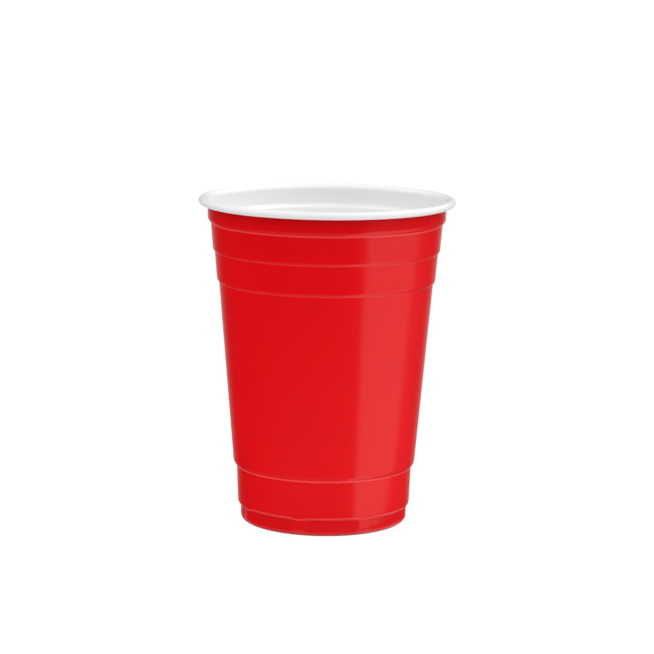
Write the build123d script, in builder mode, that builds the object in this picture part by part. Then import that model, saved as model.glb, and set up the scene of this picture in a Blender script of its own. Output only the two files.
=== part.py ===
from build123d import *
import os
from math import cos, radians, sin, tan

# A drinking cup drawn from one sheet of plastic. The sheet keeps one thickness from its rolled
# rim, down a tapering wall with five steps, to a ribbed foot and a raised floor.
# Millimetres, +Z up, origin on the axis in the plane that the cup stands on.

# Whole cup
cup_height = 121.5
rim_diameter = 95.0
wall = 0.35

# Rolled rim: the sheet flares out of the collar, then rolls down and under itself
flare_radius = 2.35
bead_radius = 1.35
roll_angle = 250

# Collar and the two bands below it, each measured down to the crease that ends it
collar_height = 9.1
upper_band_height = 10.8
middle_band_height = 11.4

# Lower band, measured from its upper crease to the crease over the foot, and the foot below it
lower_band_height = 15.1
foot_height = 5.9

# Lean of the walls from upright, in degrees
collar_draft = 1.0
wall_draft = 4.95
lower_draft = 2.3

# Steps: how far each rounded shoulder turns inwards, and how tall it is
collar_step_reach = 1.12
collar_step_height = 1.9
upper_step_reach = 0.69
upper_step_height = 1.2
middle_step_reach = 0.8
middle_step_height = 1.3
lower_step_reach = 1.28
lower_step_height = 2.3
foot_step_reach = 1.15
foot_step_height = 1.8

# Ribs pressed out of the foot: each has a head just behind the lower band, a shoulder of its own
# and an upright face, which runs out in the foot's round edge
rib_count = 8
rib_turn = 28.7
rib_head_reach = 0.06
rib_step_reach = 0.5
rib_step_height = 0.9
rib_face_width = 3.2
rib_flank_width = 0.8
rib_lift = 0.3

# Floor: a round panel raised clear of the ring that the cup stands on
foot_edge_round = 2.2
panel_margin = 7.2
panel_rise = 1.8
panel_draft = 20
panel_round = 0.8

# Heights of the creases, from the rim down and from the foot up
flare_base = cup_height - flare_radius
collar_crease = cup_height - collar_height
upper_crease = collar_crease - upper_band_height
middle_crease = upper_crease - middle_band_height
lower_crease = foot_height + lower_band_height
foot_step_top = foot_height + foot_step_height


def wall_foot(top_radius, top, foot, draft):
    """Outer radius at the foot of a leaning wall, from the radius at its top."""
    return top_radius - (top - foot) * tan(radians(draft))


# Outer radii, followed down from the rim: the top and the foot of each wall
collar_radius = rim_diameter / 2 - bead_radius - flare_radius + wall
collar_foot = collar_crease + collar_step_height
collar_foot_radius = wall_foot(collar_radius, flare_base, collar_foot, collar_draft)

upper_radius = collar_foot_radius - collar_step_reach
upper_foot = upper_crease + upper_step_height
upper_foot_radius = wall_foot(upper_radius, collar_crease, upper_foot, wall_draft)

middle_radius = upper_foot_radius - upper_step_reach
middle_foot = middle_crease + middle_step_height
middle_foot_radius = wall_foot(middle_radius, upper_crease, middle_foot, wall_draft)

long_radius = middle_foot_radius - middle_step_reach
long_foot = lower_crease + lower_step_height
long_foot_radius = wall_foot(long_radius, middle_crease, long_foot, wall_draft)

lower_radius = long_foot_radius - lower_step_reach
lower_foot_radius = wall_foot(lower_radius, lower_crease, foot_step_top, lower_draft)

foot_radius = lower_foot_radius - foot_step_reach
foot_flat_radius = foot_radius - foot_edge_round
panel_radius = foot_radius - panel_margin
panel_slope = 90 - panel_draft
panel_bend_drop = panel_round * (1 - cos(radians(panel_slope)))
panel_slope_length = (panel_rise - 2 * panel_bend_drop) / sin(radians(panel_slope))

rib_head_radius = lower_foot_radius - rib_head_reach
rib_radius = rib_head_radius - rib_step_reach
rib_head_foot = foot_height + rib_step_height

# Steps from the lower band up: crease radius and height, shoulder radius and height, and the
# draft of the wall above the shoulder
steps = (
    (lower_radius, lower_crease, long_foot_radius, long_foot, wall_draft),
    (long_radius, middle_crease, middle_foot_radius, middle_foot, wall_draft),
    (middle_radius, upper_crease, upper_foot_radius, upper_foot, wall_draft),
    (upper_radius, collar_crease, collar_foot_radius, collar_foot, collar_draft),
)


def shoulder_arc(turn_out, turn_in, draft):
    """A round shoulder, from the foot of a leaning wall in to the crease below it."""
    return TangentArc(turn_out, turn_in, tangent=(-sin(radians(draft)), -cos(radians(draft))))


def foot_section(inset):
    """Half of the foot's section, filled in up to the lower band, at an inset from its outer skin."""
    with BuildLine() as outline:
        panel = Line((0, panel_rise + inset), (panel_radius, panel_rise + inset))
        panel_bend = JernArc(panel @ 1, panel % 1, panel_round + inset, -panel_slope)
        slope = Line(panel_bend @ 1, panel_bend @ 1 + panel_bend % 1 * panel_slope_length)
        ring_bend = JernArc(slope @ 1, slope % 1, panel_round - inset, panel_slope)
        ring = Line(ring_bend @ 1, (foot_flat_radius, inset))
        edge = JernArc(ring @ 1, ring % 1, foot_edge_round - inset, 90)
        crease = foot_height + inset * foot_step_reach / foot_step_height
        side = Line(edge @ 1, (foot_radius - inset, crease))
        top = (lower_foot_radius - inset, foot_step_top)
        shoulder_arc(top, side @ 1, lower_draft)
        Polyline(top, (0, foot_step_top), panel @ 0)
    make_face(outline.edges())


def rib_section(inset):
    """Half of the section through the ribs, filled in behind their faces, at an inset from them."""
    root_low = (foot_flat_radius, rib_lift + inset)
    with BuildLine() as outline:
        edge = JernArc(root_low, (1, 0), rib_radius - foot_flat_radius - inset, 90)
        crease = foot_height + inset * rib_step_reach / rib_step_height
        face = Line(edge @ 1, (rib_radius - inset, crease))
        head_foot = (rib_head_radius - inset, rib_head_foot)
        shoulder_arc(head_foot, face @ 1, 0)
        head_top = (rib_head_radius - inset, foot_step_top)
        Polyline(head_foot, head_top, (foot_flat_radius, foot_step_top), root_low)
    make_face(outline.edges())


def rib_plan(inset):
    """The ribs seen from above, with flanks that lean out to the foot's side, at an inset from them."""
    flank_lean = rib_flank_width / (rib_radius - foot_radius)
    face_half = rib_face_width / 2
    root_half = face_half + flank_lean * (rib_radius - foot_flat_radius)
    tip_half = face_half - flank_lean * (rib_head_radius - rib_radius)
    with PolarLocations(0, rib_count, start_angle=rib_turn):
        Polygon(
            (foot_flat_radius, -root_half),
            (rib_head_radius, -tip_half),
            (rib_head_radius, tip_half),
            (foot_flat_radius, root_half),
            align=None,
        )
    if inset:
        offset(amount=-inset, kind=Kind.INTERSECTION, mode=Mode.REPLACE)


def foot_form(inset):
    """The foot with its ribs, filled in up to the lower band, at an inset from its outer skin."""
    with BuildPart() as form:
        with BuildSketch():
            rib_plan(inset)
        extrude(amount=foot_step_top)
        with BuildSketch(Plane.XZ):
            rib_section(inset)
        revolve(axis=Axis.Z, mode=Mode.INTERSECT)
        with BuildSketch(Plane.XZ):
            foot_section(inset)
        revolve(axis=Axis.Z)
    return form.part


# Foot and floor: the sheet between its outer and its inner skin
foot_skin = foot_form(0)
foot_hollow = foot_form(wall)
with BuildPart() as foot:
    add(foot_skin)
    add(foot_hollow, mode=Mode.SUBTRACT)

# Whole cup: the section of the wall and its rolled rim turned about the axis, on top of the foot
with BuildPart() as cup:
    with BuildSketch(Plane.XZ):
        with BuildLine():
            rolled_edge = []
            for inset in (0, wall):
                wall_top = (lower_foot_radius - inset, foot_step_top)
                for crease_radius, crease, shoulder_radius, shoulder, draft in steps:
                    lift = inset * (shoulder_radius - crease_radius) / (shoulder - crease)
                    turn_in = (crease_radius - inset, crease + lift)
                    turn_out = (shoulder_radius - inset, shoulder + lift)
                    Line(wall_top, turn_in)
                    shoulder_arc(turn_out, turn_in, draft)
                    wall_top = turn_out
                collar = Line(wall_top, (collar_radius - inset, flare_base))
                flare = JernArc(collar @ 1, (0, 1), flare_radius - wall + inset, -90)
                roll = JernArc(flare @ 1, flare % 1, bead_radius - wall + inset, -roll_angle)
                rolled_edge.append(roll @ 1)
            Line(rolled_edge)
            Line((lower_foot_radius, foot_step_top), (lower_foot_radius - wall, foot_step_top))
        make_face()
    revolve(axis=Axis.Z)
    add(foot.part)

cup.part.label = "cup"

os.makedirs("parts", exist_ok=True)
export_step(cup.part, "parts/cup.step")
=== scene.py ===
from math import atan2, cos, hypot, pi, radians, sin, sqrt, tan

import bpy
from mathutils import Matrix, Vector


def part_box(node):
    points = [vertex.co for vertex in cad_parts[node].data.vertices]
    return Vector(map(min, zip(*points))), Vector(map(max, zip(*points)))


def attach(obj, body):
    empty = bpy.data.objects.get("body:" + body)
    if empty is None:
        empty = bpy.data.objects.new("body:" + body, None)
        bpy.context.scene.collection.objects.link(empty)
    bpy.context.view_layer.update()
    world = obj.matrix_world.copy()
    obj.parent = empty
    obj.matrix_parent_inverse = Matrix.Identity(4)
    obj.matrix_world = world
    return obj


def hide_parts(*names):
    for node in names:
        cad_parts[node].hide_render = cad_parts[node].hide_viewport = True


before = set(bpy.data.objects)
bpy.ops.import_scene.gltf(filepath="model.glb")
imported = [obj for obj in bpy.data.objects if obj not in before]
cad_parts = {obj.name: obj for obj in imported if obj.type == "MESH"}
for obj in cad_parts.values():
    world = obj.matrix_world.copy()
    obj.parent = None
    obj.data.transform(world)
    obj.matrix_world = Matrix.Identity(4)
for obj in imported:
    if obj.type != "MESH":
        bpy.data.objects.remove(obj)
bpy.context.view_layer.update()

# Sizes of the cup in metres: its height and rim come from the frame
cup_low, cup_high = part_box("cup")
cup_height = cup_high.z
rim_radius = (cup_high.x - cup_low.x) / 2
wall = 0.00035

# Rolled rim
flare_radius = 0.00235
bead_radius = 0.00135
roll_angle = radians(250)

# Bands of the wall, each measured down to the crease that ends it, and the lower band up from the foot
collar_height = 0.0091
upper_band_height = 0.0108
middle_band_height = 0.0114
lower_band_height = 0.0151

# Lean of the walls from upright
collar_draft = radians(1.0)
wall_draft = radians(4.95)
lower_draft = radians(2.3)

# Steps between the bands, from the top: how far each shoulder turns inwards, and how tall it is
collar_step = (0.00112, 0.0019)
upper_step = (0.00069, 0.0012)
middle_step = (0.0008, 0.0013)
lower_step = (0.00128, 0.0023)
foot_step = (0.00115, 0.0018)
crease_round = 0.0002
crease_segments = 3

# Foot, and the ribs pressed out of it
foot_height = 0.0059
foot_edge_round = 0.0022
rib_count = 8
rib_turn = radians(28.7)
rib_head_reach = 0.00006
rib_step = (0.0005, 0.0009)
rib_face_width = 0.0032
rib_flank_width = 0.0018
rib_lift = 0.0003
rib_round = 0.0002

# Raised floor panel
panel_margin = 0.0072
panel_rise = 0.0018
panel_draft = radians(20)
panel_round = 0.0008

# Points round each ring of the sheet, stations along its bends, and the angle past which an edge stays sharp
ring_points = 360
rib_crowding = 0.7
shoulder_stations = 8
flare_stations = 10
roll_stations = 28
edge_stations = 12
side_stations = 10
panel_stations = 4
sharp_angle = radians(40)

# Colours of the plastic: a deep and a bright one, blended by its grain and by painted shade, and a painted
# highlight along the creases
deep_red = (0.6, 0.001, 0.004, 1)
bright_red = (0.785, 0.002, 0.006, 1)
crease_highlight_red = (1.0, 0.08, 0.08, 1)
deep_white = (0.8, 0.8, 0.81, 1)
bright_white = (0.87, 0.87, 0.875, 1)

# Gloss of the plastic, and the faint relief in it
red_roughness = 0.22
white_roughness = 0.3
roughness_spread = 0.06
plastic_ior = 1.55
relief_strength = 0.03
relief_depth = 0.0001
relief_streaks = 0.75
relief_skin = 0.25

# Grain of the plastic: how fine each kind is, and how far the streaks are drawn out along the cup
cast_scale = 30
streak_scale = 260
skin_scale = 1500
streak_stretch = 0.08

# What brings out the brighter colour: the cast, the streaks, the painted light and shade by height, and the
# painted light on the ribs
cast_share = 0.25
streak_share = 0.15
height_shade_share = 0.6
rib_painted_light = 0.15
rib_fall = 2.2

# Painted shade by height, from the base to the rim: deeper colour at the foot, where the table's contact
# shade falls, and under the rim, where the rim's shadow falls
height_shade_stops = [
    (0.0, 0.0), (0.045, 0.0), (0.075, 0.75), (0.25, 1.0),
    (0.8, 1.0), (0.9, 0.7), (0.935, 0.45), (0.97, 0.1),
]

# Painted highlights along the creases: half their width, how far the collar's line lies below its crease and
# the foot's line above its own, how far the foot's line dips on a rib, and how strongly each line shows
line_reach = 0.0004
collar_line_drop = 0.0002
foot_line_rise = 0.00115
foot_line_dip = 0.00065
collar_line_share = 0.7
upper_line_share = 0.25
middle_line_share = 0.25
lower_line_share = 0.9
foot_line_share = 0.5

# Floor: its greys to the cup and to the camera, and the share and strength of its own white
floor_size = 40
floor_dim_grey = 0.06
floor_pale_grey = 0.9
floor_white_share = 0.9
floor_white = 1.04

# Dark disc under the foot
contact_points = 128
contact_radius = 0.0308
contact_drop = 0.0001
contact_grey = 0.02

# Light thrown up by the table
bounce_size = 2.0
bounce_drop = 0.03
bounce_power = 12.6

# Clear card over the floor. Its panel and front patch fan out from one corner: their stops follow the turn
# about it, from the left round the front to the left again, and the patch also fades with distance.
card_size = 1
card_lift = 0.0002
panel_corner = (0.0139, -0.0322)
panel_reach = 0.42
panel_light = 1.1
panel_fade = 0.9
panel_stops = [
    (0.0, 0.0), (0.361, 0.0), (0.366, 0.7), (0.375, 0.85), (0.46, 0.76),
    (0.54, 0.58), (0.558, 0.13), (0.62, 0.03), (0.7, 0.0),
]
front_stops = [
    (0.0, 0.45), (0.04, 0.8), (0.11, 1.0), (0.35, 1.0),
    (0.37, 0.0), (0.93, 0.0), (1.0, 0.45),
]
patch_reach = 0.3
patch_stops = [(0.0, 0.14), (0.17, 0.16), (0.28, 0.15), (0.47, 0.08), (0.63, 0.03), (0.87, 0.0)]

# Ring on the card under the foot's round edge, brighter towards the right
ring_reach = 0.04
ring_slant = 20
ring_stops = [(0.0, 0.0), (0.68, 0.0), (0.7, 0.6), (0.76, 0.5), (0.9, 0.0)]

# Studio: its light from straight below to straight above, and what the sides, front and right add to it
tent_stops = [
    (0.0, 0.17), (0.1, 0.14), (0.28, 0.03), (0.5, 0.03),
    (0.6, 0.25), (0.74, 1.0), (0.95, 1.0), (1.0, 0.5),
]
tent_light = 0.95
front_light = 0.4
side_light = 2.1
right_light = 0.42

# Low glow of the room, from front to back and from left to right
behind_stops = [(0.0, 0.0), (0.885, 0.0), (0.92, 0.08), (0.955, 0.2), (0.99, 0.6)]
right_stops = [(0.0, 0.0), (0.5, 0.0), (0.9, 0.03)]

# Camera: a pinhole with its picture's width and focal length in pixels, and its place, dip and roll
image_size = 654
focal_pixels = 2733.7
sensor_width = 36
camera_place = (0.00055, -1.0038, 0.2416)
camera_dip = 9.544
camera_roll = 0.725

# Heights of the creases
flare_base = cup_height - flare_radius
collar_crease = cup_height - collar_height
upper_crease = collar_crease - upper_band_height
middle_crease = upper_crease - middle_band_height
lower_crease = foot_height + lower_band_height
foot_step_top = foot_height + foot_step[1]


def wall_foot(top_radius, top, foot, draft):
    """Radius at the foot of a leaning wall, from the radius at its top."""
    return top_radius - (top - foot) * tan(draft)


# Outer radii, followed down from the rim: the top and the foot of each wall
collar_radius = rim_radius - bead_radius - flare_radius + wall
collar_foot = collar_crease + collar_step[1]
collar_foot_radius = wall_foot(collar_radius, flare_base, collar_foot, collar_draft)
upper_radius = collar_foot_radius - collar_step[0]
upper_foot = upper_crease + upper_step[1]
upper_foot_radius = wall_foot(upper_radius, collar_crease, upper_foot, wall_draft)
middle_radius = upper_foot_radius - upper_step[0]
middle_foot = middle_crease + middle_step[1]
middle_foot_radius = wall_foot(middle_radius, upper_crease, middle_foot, wall_draft)
long_radius = middle_foot_radius - middle_step[0]
long_foot = lower_crease + lower_step[1]
long_foot_radius = wall_foot(long_radius, middle_crease, long_foot, wall_draft)
lower_radius = long_foot_radius - lower_step[0]
lower_foot_radius = wall_foot(lower_radius, lower_crease, foot_step_top, lower_draft)
foot_radius = lower_foot_radius - foot_step[0]
foot_flat_radius = foot_radius - foot_edge_round
panel_radius = foot_radius - panel_margin
rib_head_radius = lower_foot_radius - rib_head_reach
rib_radius = rib_head_radius - rib_step[0]


def bend(centre, radius, start, turn, stations):
    """Stations round a bend, without its first point: angles run from outwards to upwards."""
    angles = [start + turn * station / stations for station in range(1, stations + 1)]
    return [(centre[0] + radius * cos(angle), centre[1] + radius * sin(angle)) for angle in angles]


def shoulder(crease, top, draft):
    """Stations of a round shoulder, from its crease up to the wall that it runs into."""
    reach = top[0] - crease[0]
    height = top[1] - crease[1]
    radius = (reach**2 + height**2) / 2 / (reach * cos(draft) - height * sin(draft))
    centre = (top[0] - radius * cos(draft), top[1] + radius * sin(draft))
    start = atan2(crease[1] - centre[1], crease[0] - centre[0])
    return bend(centre, radius, start, -draft - start, shoulder_stations)


def floor_line():
    """Underside of the floor, from the raised panel to the top of the foot's side."""
    slope = pi / 2 - panel_draft
    bend_drop = panel_round * (1 - cos(slope))
    bend_run = panel_round * sin(slope)
    slope_run = (panel_rise - 2 * bend_drop) / tan(slope)
    ring_radius = panel_radius + 2 * bend_run + slope_run
    ring_centre = (ring_radius, panel_round)
    side_height = foot_height - foot_edge_round
    side = [foot_edge_round + side_height * station / side_stations for station in range(1, side_stations)]
    return [
        (panel_radius, panel_rise),
        *bend((panel_radius, panel_rise - panel_round), panel_round, pi / 2, -slope, panel_stations),
        *bend(ring_centre, panel_round, -pi / 2 - slope, 0, 1),
        *bend(ring_centre, panel_round, -pi / 2 - slope, slope, panel_stations),
        (foot_flat_radius, 0),
        *bend((foot_flat_radius, foot_edge_round), foot_edge_round, -pi / 2, pi / 2, edge_stations),
        *((foot_radius, height) for height in side),
    ]


def wall_line():
    """Outer face of the wall, from the crease over the foot to the top of the collar."""
    steps = (
        ((foot_radius, foot_height), (lower_foot_radius, foot_step_top), lower_draft),
        ((lower_radius, lower_crease), (long_foot_radius, long_foot), wall_draft),
        ((long_radius, middle_crease), (middle_foot_radius, middle_foot), wall_draft),
        ((middle_radius, upper_crease), (upper_foot_radius, upper_foot), wall_draft),
        ((upper_radius, collar_crease), (collar_foot_radius, collar_foot), collar_draft),
    )
    line = []
    for crease, top, draft in steps:
        line += [crease, *shoulder(crease, top, draft)]
    return [*line, (collar_radius, flare_base)]


def rim_line():
    """Outer face of the sheet as it flares out of the collar, then rolls down and under itself."""
    flare_inner = flare_radius - wall
    roll_centre = (collar_radius + flare_inner, cup_height - bead_radius)
    return [
        *bend((roll_centre[0], flare_base), flare_inner, pi, -pi / 2, flare_stations),
        *bend(roll_centre, bead_radius - wall, pi / 2, -roll_angle, roll_stations),
    ]


def draw_sheet(line):
    """A disc whose open edge is drawn out ring by ring along a line of radii and heights. The points of
    each ring crowd towards the ribs."""
    radius, height = line[0]
    bpy.ops.object.select_all(action="DESELECT")
    bpy.ops.mesh.primitive_circle_add(
        vertices=ring_points, radius=radius, fill_type="TRIFAN",
        location=(0, 0, height), rotation=(0, 0, rib_turn),
    )
    sheet = bpy.context.object
    for vertex in sheet.data.vertices:
        around = atan2(vertex.co.y, vertex.co.x)
        vertex.co.rotate(Matrix.Rotation(-rib_crowding * sin(rib_count * around) / rib_count, 3, "Z"))
    bpy.ops.object.transform_apply(location=True, rotation=True, scale=True)
    bpy.ops.object.mode_set(mode="EDIT")
    bpy.ops.mesh.select_all(action="SELECT")
    bpy.ops.mesh.region_to_loop()
    for next_radius, next_height in line[1:]:
        bpy.ops.mesh.extrude_region_move(TRANSFORM_OT_translate={"value": (0, 0, next_height - height)})
        growth = next_radius / radius
        bpy.ops.transform.resize(value=(growth, growth, 1), center_override=(0, 0, next_height))
        radius, height = next_radius, next_height
    bpy.ops.mesh.select_all(action="SELECT")
    bpy.ops.mesh.normals_make_consistent(inside=True)
    bpy.ops.object.mode_set(mode="OBJECT")
    return sheet


def rib_reach_at(height):
    """Radius of a rib's face at a height, from where it leaves the foot's edge to its head."""
    edge_round = rib_radius - foot_flat_radius
    if height < rib_lift + edge_round:
        return foot_flat_radius + sqrt(max(0, edge_round**2 - (rib_lift + edge_round - height) ** 2))
    rise = min(max(height - foot_height, 0), rib_step[1])
    radius = (rib_step[0] ** 2 + rib_step[1] ** 2) / 2 / rib_step[0]
    return rib_head_radius - radius + sqrt(radius**2 - (rib_step[1] - rise) ** 2)


def larger(first, second):
    """The larger of two radii, blended where they are close."""
    return (first + second + hypot(first - second, rib_round)) / 2


def press_ribs(sheet):
    """Presses the ribs out of the foot's side: upright faces between flanks that lean out to it."""
    half_turn = pi / rib_count
    flank_lean = rib_flank_width / (rib_radius - foot_radius)
    flank_reach = rib_radius + rib_face_width / 2 / flank_lean
    for vertex in sheet.data.vertices:
        radius = hypot(vertex.co.x, vertex.co.y)
        if vertex.co.z > foot_step_top or vertex.co.z < rib_lift or radius < foot_flat_radius:
            continue
        around = atan2(vertex.co.y, vertex.co.x) - rib_turn
        aside = abs((around + half_turn) % (2 * half_turn) - half_turn)
        flank = flank_reach / (cos(aside) + sin(aside) / flank_lean)
        rib = -larger(-rib_reach_at(vertex.co.z), -flank)
        vertex.co.xy *= larger(radius, rib) / radius


def round_creases(sheet):
    """Small bevels along the creases of the upper steps, which a formed sheet never has quite sharp."""
    creases = (lower_crease, middle_crease, upper_crease, collar_crease)
    close = crease_round / 10
    bpy.ops.object.mode_set(mode="EDIT")
    bpy.ops.mesh.select_all(action="DESELECT")
    bpy.ops.object.mode_set(mode="OBJECT")
    vertices = sheet.data.vertices
    for edge in sheet.data.edges:
        heights = [vertices[index].co.z for index in edge.vertices]
        edge.select = any(
            max(abs(height - crease) for height in heights) < close for crease in creases
        )
    bpy.ops.object.mode_set(mode="EDIT")
    bpy.ops.mesh.select_mode(type="EDGE")
    bpy.ops.mesh.bevel(offset=crease_round, segments=crease_segments, affect="EDGES")
    bpy.ops.object.mode_set(mode="OBJECT")


def thicken(sheet):
    """Gives the sheet its thickness towards the inside, which takes the second material."""
    solidify = sheet.modifiers.new("thickness", "SOLIDIFY")
    solidify.thickness = wall
    solidify.offset = -1
    solidify.material_offset = 1
    solidify.material_offset_rim = 1
    bpy.ops.object.modifier_apply(modifier=solidify.name)
    bpy.ops.object.shade_smooth_by_angle(angle=sharp_angle)


def grey(level):
    """A grey of one level."""
    return (level, level, level, 1)


class Wire:
    """A node's output that can stand in a sum: each operator adds its Math node."""

    def __init__(self, graph, socket):
        self.graph = graph
        self.socket = socket

    def __add__(self, other):
        return self.graph.math("ADD", self, other)

    def __radd__(self, other):
        return self.graph.math("ADD", other, self)

    def __sub__(self, other):
        return self.graph.math("SUBTRACT", self, other)

    def __rsub__(self, other):
        return self.graph.math("SUBTRACT", other, self)

    def __mul__(self, other):
        return self.graph.math("MULTIPLY", self, other)

    def __rmul__(self, other):
        return self.graph.math("MULTIPLY", other, self)


class Graph:
    """The nodes of one material or of the world."""

    def __init__(self, owner):
        owner.use_nodes = True
        self.tree = owner.node_tree
        self.tree.nodes.clear()

    def node(self, kind, settings, inputs, output=0):
        """Adds a node: its settings first, then the values or wires of its sockets."""
        made = self.tree.nodes.new("ShaderNode" + kind)
        for name, value in settings.items():
            if name == "stops":
                stops = made.color_ramp.elements
                for index, (place, shade) in enumerate(value):
                    stop = stops[index] if index < len(stops) else stops.new(place)
                    stop.position = place
                    stop.color = grey(shade)
            else:
                setattr(made, name, value)
        for socket, value in inputs.items():
            if isinstance(value, Wire):
                self.tree.links.new(value.socket, made.inputs[socket])
            else:
                made.inputs[socket].default_value = value
        return Wire(self, made.outputs[output]) if made.outputs else None

    def math(self, operation, first, second=0.0):
        return self.node("Math", {"operation": operation}, {0: first, 1: second})

    def axis(self, place, name):
        return self.node("SeparateXYZ", {}, {0: place}, name)

    def ramp(self, stops, share):
        return self.node("ValToRGB", {"stops": stops}, {0: share})

    def noise(self, place, scale, detail):
        return self.node("TexNoise", {}, {"Vector": place, "Scale": scale, "Detail": detail})

    def blend(self, share, first, second):
        """One colour turned into another, by a share."""
        return self.node("Mix", {"data_type": "RGBA"}, {0: share, 6: first, 7: second}, 2)


def rib_share(graph, place):
    """How far a place lies on a rib, by its turn round the axis: 1 along its middle, 0 off its flanks."""
    around = graph.math("ARCTAN2", graph.axis(place, "Y"), graph.axis(place, "X"))
    wave = graph.math("COSINE", rib_count * (around - rib_turn))
    return graph.math("MAXIMUM", rib_fall * wave - (rib_fall - 1))


def paint_crease_highlights(graph, height, on_rib, colour):
    """Painted highlights along the creases of the wall, where the shoulders catch the light; the line over
    the foot dips where it crosses a rib.
    """
    lines = (
        (height - collar_crease + collar_line_drop, collar_line_share),
        (height - upper_crease, upper_line_share),
        (height - middle_crease, middle_line_share),
        (height - lower_crease, lower_line_share),
        (height + foot_line_dip * on_rib - (foot_height + foot_line_rise), foot_line_share),
    )
    for above, share in lines:
        aside = above * (1 / line_reach)
        colour = graph.blend(share * graph.math("MAXIMUM", 1 - aside * aside), colour, crease_highlight_red)
    return colour


def formed_plastic(name, deep, bright, roughness, ribbed):
    """Glossy sheet plastic with a faint cast, streaks and a fine skin, and painted shade by height: deeper
    at the foot and under the rim. The ribbed side has painted light on its ribs and painted highlights along
    its creases."""
    material = bpy.data.materials.new(name)
    graph = Graph(material)
    place = graph.node("TexCoord", {}, {}, "Object")
    drawn = graph.node("Mapping", {}, {"Vector": place, "Scale": (1, 1, streak_stretch)})
    cast = graph.noise(place, cast_scale, detail=2)
    streaks = graph.noise(drawn, streak_scale, detail=3)
    skin = graph.noise(place, skin_scale, detail=2)
    height = graph.axis(place, "Z")
    # Painted shade: deeper colour at the foot and under the rim, where shade falls
    painted_height_shade = graph.ramp(height_shade_stops, height * (1 / cup_height))
    shade = cast_share * cast + streak_share * streaks + height_shade_share * painted_height_shade
    if ribbed:
        on_rib = rib_share(graph, place)
        in_foot = graph.math("LESS_THAN", height, foot_height)
        # Painted light: the ribs' faces over the foot are made lighter, as if they caught more light than
        # the foot's side
        shade = shade + rib_painted_light * in_foot * on_rib
    colour = graph.blend(shade, deep, bright)
    if ribbed:
        # Painted highlights along the creases, where the shoulders catch the light
        colour = paint_crease_highlights(graph, height, on_rib, colour)
    relief = graph.node("Bump", {}, {
        "Strength": relief_strength,
        "Distance": relief_depth,
        "Height": relief_streaks * streaks + relief_skin * skin,
    })
    shader = graph.node("BsdfPrincipled", {}, {
        "Base Color": colour,
        "Roughness": roughness + roughness_spread * (streaks + skin - 1),
        "IOR": plastic_ior,
        "Normal": relief,
    })
    graph.node("OutputMaterial", {}, {"Surface": shader})
    return material


def make_cup():
    """The cup as one formed sheet: red outside, white inside and over the rolled rim."""
    sheet = draw_sheet([*floor_line(), *wall_line(), *rim_line()])
    sheet.name = "formed_cup"
    sheet.data.name = "formed_cup"
    press_ribs(sheet)
    round_creases(sheet)
    red = formed_plastic("red_plastic_outside", deep_red, bright_red, red_roughness, ribbed=True)
    white = formed_plastic("white_lining", deep_white, bright_white, white_roughness, ribbed=False)
    sheet.data.materials.append(red)
    sheet.data.materials.append(white)
    thicken(sheet)
    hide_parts("cup")
    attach(sheet, "root")


def make_floor():
    """A wide floor that is white to the camera but dim to the cup, whose wall mirrors a dim room."""
    bpy.ops.object.select_all(action="DESELECT")
    bpy.ops.mesh.primitive_plane_add(size=floor_size, location=(0, 0, 0))
    floor = bpy.context.object
    floor.name = "floor"
    floor.visible_glossy = False
    floor.visible_shadow = False
    material = bpy.data.materials.new("pale_floor")
    graph = Graph(material)
    dim = graph.node("BsdfDiffuse", {}, {"Color": grey(floor_dim_grey)})
    shaded = graph.node("BsdfDiffuse", {}, {"Color": grey(floor_pale_grey)})
    white = graph.node("Emission", {}, {"Color": grey(1), "Strength": floor_white})
    pale = graph.node("MixShader", {}, {0: floor_white_share, 1: shaded, 2: white})
    seen = graph.node("LightPath", {}, {}, "Is Camera Ray")
    shader = graph.node("MixShader", {}, {0: seen, 1: dim, 2: pale})
    graph.node("OutputMaterial", {}, {"Surface": shader})
    floor.data.materials.append(material)


def make_card():
    """A clear sheet just over the floor, with the glow that only the cup's gloss shows: a pale panel that
    opens out to the right of the cup, a weak patch in front of it and a ring under the foot's round edge."""
    bpy.ops.object.select_all(action="DESELECT")
    bpy.ops.mesh.primitive_plane_add(size=card_size, location=(0, 0, card_lift))
    card = bpy.context.object
    card.name = "glow_card"
    card.visible_camera = False
    card.visible_diffuse = False
    card.visible_shadow = False
    material = bpy.data.materials.new("glow")
    graph = Graph(material)
    place = graph.node("TexCoord", {}, {}, "Object")
    right = graph.axis(place, "X")
    back = graph.axis(place, "Y")
    radius = graph.math("SQRT", right * right + back * back)
    across = right - panel_corner[0]
    away = back - panel_corner[1]
    reach = graph.math("SQRT", across * across + away * away)
    turn = graph.math("ARCTAN2", away, across) * (0.5 / pi) + 0.5
    within = graph.math("LESS_THAN", reach, panel_reach)
    panel = within * (panel_light - panel_fade * across) * graph.ramp(panel_stops, turn)
    patch = graph.ramp(front_stops, turn) * graph.ramp(patch_stops, reach * (1 / patch_reach))
    ring = graph.ramp(ring_stops, radius * (1 / ring_reach)) * (1 + ring_slant * right)
    glow = graph.node("Emission", {}, {"Color": panel + patch + ring, "Strength": 1.0})
    clear = graph.node("BsdfTransparent", {}, {"Color": grey(1)})
    shader = graph.node("AddShader", {}, {0: clear, 1: glow})
    graph.node("OutputMaterial", {}, {"Surface": shader})
    card.data.materials.append(material)


def make_contact():
    """A dark disc under the foot, unseen itself, for the shade where the cup meets the table."""
    bpy.ops.object.select_all(action="DESELECT")
    bpy.ops.mesh.primitive_circle_add(
        vertices=contact_points, radius=contact_radius, fill_type="NGON", location=(0, 0, -contact_drop)
    )
    contact = bpy.context.object
    contact.name = "contact_shade"
    contact.visible_camera = False
    contact.visible_diffuse = False
    material = bpy.data.materials.new("dark_contact")
    graph = Graph(material)
    shader = graph.node("BsdfDiffuse", {}, {"Color": grey(contact_grey)})
    graph.node("OutputMaterial", {}, {"Surface": shader})
    contact.data.materials.append(material)


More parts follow.
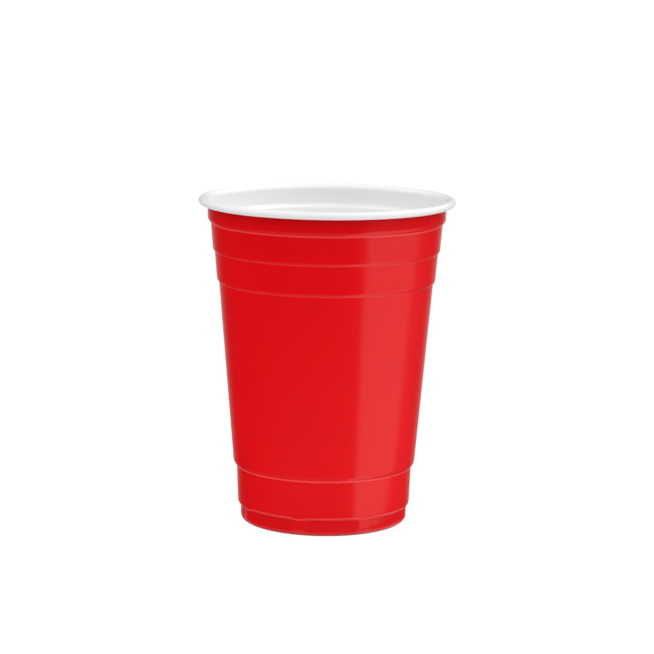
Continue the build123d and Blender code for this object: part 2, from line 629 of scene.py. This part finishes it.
def bounce_light():
    """The light that a white table throws up at the cup, kept out of the cup's gloss."""
    bpy.ops.object.select_all(action="DESELECT")
    bpy.ops.object.light_add(type="AREA", location=(0, 0, -bounce_drop), rotation=(pi, 0, 0))
    bounce = bpy.context.object
    bounce.name = "table_bounce"
    bounce.data.size = bounce_size
    bounce.data.energy = bounce_power
    bounce.data.cycles.use_multiple_importance_sampling = False
    bounce.visible_camera = False
    bounce.visible_glossy = False


def light_studio():
    """A tent that is bright overhead and at the sides, over a dim room that shows only in the cup's gloss.
    The camera sees plain white."""
    world = bpy.data.worlds.new("studio")
    bpy.context.scene.world = world
    world.cycles.sampling_method = "NONE"
    graph = Graph(world)
    direction = graph.node("TexCoord", {}, {}, "Generated")
    across = graph.axis(direction, "X")
    away = graph.axis(direction, "Y")
    upwards = graph.axis(direction, "Z")
    tent = graph.ramp(tent_stops, 0.5 * upwards + 0.5)
    behind = graph.ramp(behind_stops, 0.5 * away + 0.5)
    right = graph.ramp(right_stops, 0.5 * across + 0.5)
    low = graph.math("LESS_THAN", upwards, 0.0)
    seen = graph.node("LightPath", {}, {}, "Is Camera Ray")
    sides = tent_light - front_light * away + side_light * across * across + right_light * across
    glow = (1 - low) * sides * tent + low * (tent + behind + right)
    backdrop = graph.node("Background", {}, {"Color": glow + seen * (1 - glow), "Strength": 1.0})
    graph.node("OutputWorld", {}, {"Surface": backdrop})


def set_camera():
    """The photograph's view, from a pinhole fitted to the cup's outline and creases."""
    bpy.ops.object.select_all(action="DESELECT")
    bpy.ops.object.camera_add()
    camera = bpy.context.object
    camera.data.sensor_width = sensor_width
    camera.data.lens = sensor_width * focal_pixels / image_size
    stand = Matrix.Translation(camera_place)
    pitch = Matrix.Rotation(radians(90 - camera_dip), 4, "X")
    roll = Matrix.Rotation(radians(camera_roll), 4, "Z")
    camera.matrix_world = stand @ pitch @ roll
    bpy.context.scene.camera = camera


make_cup()
make_floor()
make_card()
make_contact()
bounce_light()
light_studio()
set_camera()

bpy.context.scene.view_settings.view_transform = "Standard"
